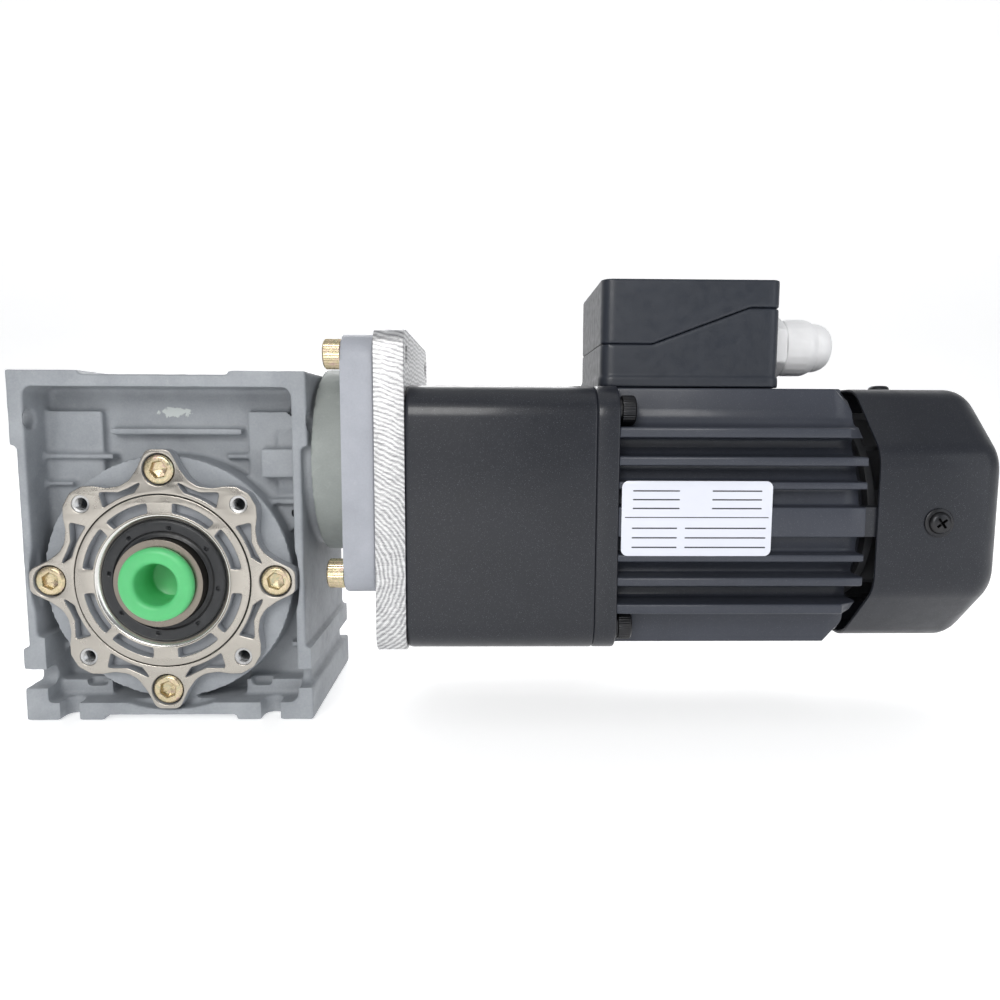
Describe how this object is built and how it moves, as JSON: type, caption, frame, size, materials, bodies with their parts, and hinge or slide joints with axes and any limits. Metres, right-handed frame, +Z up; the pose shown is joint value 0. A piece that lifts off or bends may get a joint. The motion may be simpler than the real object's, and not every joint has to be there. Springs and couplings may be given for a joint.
{
  "type": "worm gear motor",
  "caption": "Right-angle worm gear unit with a hollow output bore, driven through a spur gearhead by a fan-cooled induction motor.",
  "frame": {"origin": "on the output axis, half-way between the two output faces", "axes": "+X along the worm towards the motor, +Y along the output bore away from the cover, +Z up from the feet"},
  "size_m": [0.3355, 0.0944, 0.1535],
  "materials": {
    "grey_paint": "satin",
    "machined_cover": "satin",
    "cut_aluminium": "satin",
    "black_paint": "satin",
    "turned_steel": "satin",
    "bearing_steel": "polished",
    "yellow_zinc": "satin",
    "black_oxide": "satin",
    "bronze": "satin",
    "copper": "satin",
    "seal_rubber": "matte",
    "green_plastic": "gloss",
    "black_plastic": "matte",
    "white_plastic": "satin",
    "fan_plastic": "matte",
    "terminal_plastic": "matte",
    "label_film": "satin"
  },
  "bodies": {
    "root": {"gear_housing": "grey_paint", "front_cover": "machined_cover", "cover_screws": "yellow_zinc", "cover_o_ring": "seal_rubber", "front_oil_seal": "seal_rubber", "rear_oil_seal": "seal_rubber", "front_bearing_outer_ring": "bearing_steel", "front_bearing_balls": "bearing_steel", "rear_bearing_outer_ring": "bearing_steel", "rear_bearing_balls": "bearing_steel", "end_bearing_outer_ring": "bearing_steel", "end_bearing_balls": "bearing_steel", "input_bearing_outer_ring": "bearing_steel", "input_bearing_balls": "bearing_steel", "worm_end_cap": "seal_rubber", "worm_circlips": "turned_steel", "worm_input_seal": "seal_rubber", "input_flange": "grey_paint", "input_flange_screws": "black_oxide", "flange_plate_screws": "yellow_zinc", "adapter_plate": "cut_aluminium", "gearhead_case": "black_paint", "gearhead_plate": "cut_aluminium", "gearhead_bearings": "bearing_steel", "cluster_bushes": "bronze", "gearhead_screws": "black_oxide", "motor_front_bracket": "black_paint", "motor_frame": "black_paint", "stator_core": "turned_steel", "stator_windings": "copper", "motor_bearings": "bearing_steel", "rear_bracket": "black_paint", "fan_cover": "black_paint", "fan_cover_screws": "black_oxide", "rating_label": "label_film", "terminal_box_base": "black_plastic", "terminal_box_lid": "black_plastic", "terminal_block": "terminal_plastic", "lid_screws": "bearing_steel", "gland_body": "white_plastic", "gland_nut": "white_plastic"},
    "rotor": {"motor_shaft": "turned_steel", "rotor_core": "bearing_steel", "cooling_fan": "fan_plastic"},
    "cluster": {"cluster_shaft": "turned_steel", "cluster_gear": "turned_steel"},
    "worm": {"gearhead_shaft": "turned_steel", "final_gear": "turned_steel", "shaft_key": "bearing_steel", "worm_shaft": "turned_steel", "end_bearing_inner_ring": "bearing_steel", "input_bearing_inner_ring": "bearing_steel"},
    "output": {"output_hub": "turned_steel", "worm_wheel": "bronze", "front_bearing_inner_ring": "bearing_steel", "rear_bearing_inner_ring": "bearing_steel"},
    "plug": {"bore_plug": "green_plastic"}
  },
  "joints": [
    {"name": "rotor_spin", "type": "hinge", "parent": "root", "child": "rotor", "pos_m": [0.2, 0, 0.022], "axis": [1, 0, 0], "continuous": true},
    {"name": "cluster_spin", "type": "hinge", "parent": "root", "child": "cluster", "pos_m": [0.13, 0.02153, 0.02371], "axis": [1, 0, 0], "continuous": true},
    {"name": "worm_spin", "type": "hinge", "parent": "root", "child": "worm", "pos_m": [0, 0, 0.04], "axis": [1, 0, 0], "continuous": true},
    {"name": "output_spin", "type": "hinge", "parent": "root", "child": "output", "pos_m": [0, 0, 0], "axis": [0, 1, 0], "continuous": true},
    {"name": "plug_pull", "type": "slide", "parent": "output", "child": "plug", "axis": [0, -1, 0], "range_m": [0, 0.03]}
  ],
  "couplings": [
    {"joint": "cluster_spin", "follows": "rotor_spin", "ratio": -0.28571},
    {"joint": "worm_spin", "follows": "rotor_spin", "ratio": 0.1},
    {"joint": "output_spin", "follows": "rotor_spin", "ratio": 0.0033333}
  ]
}
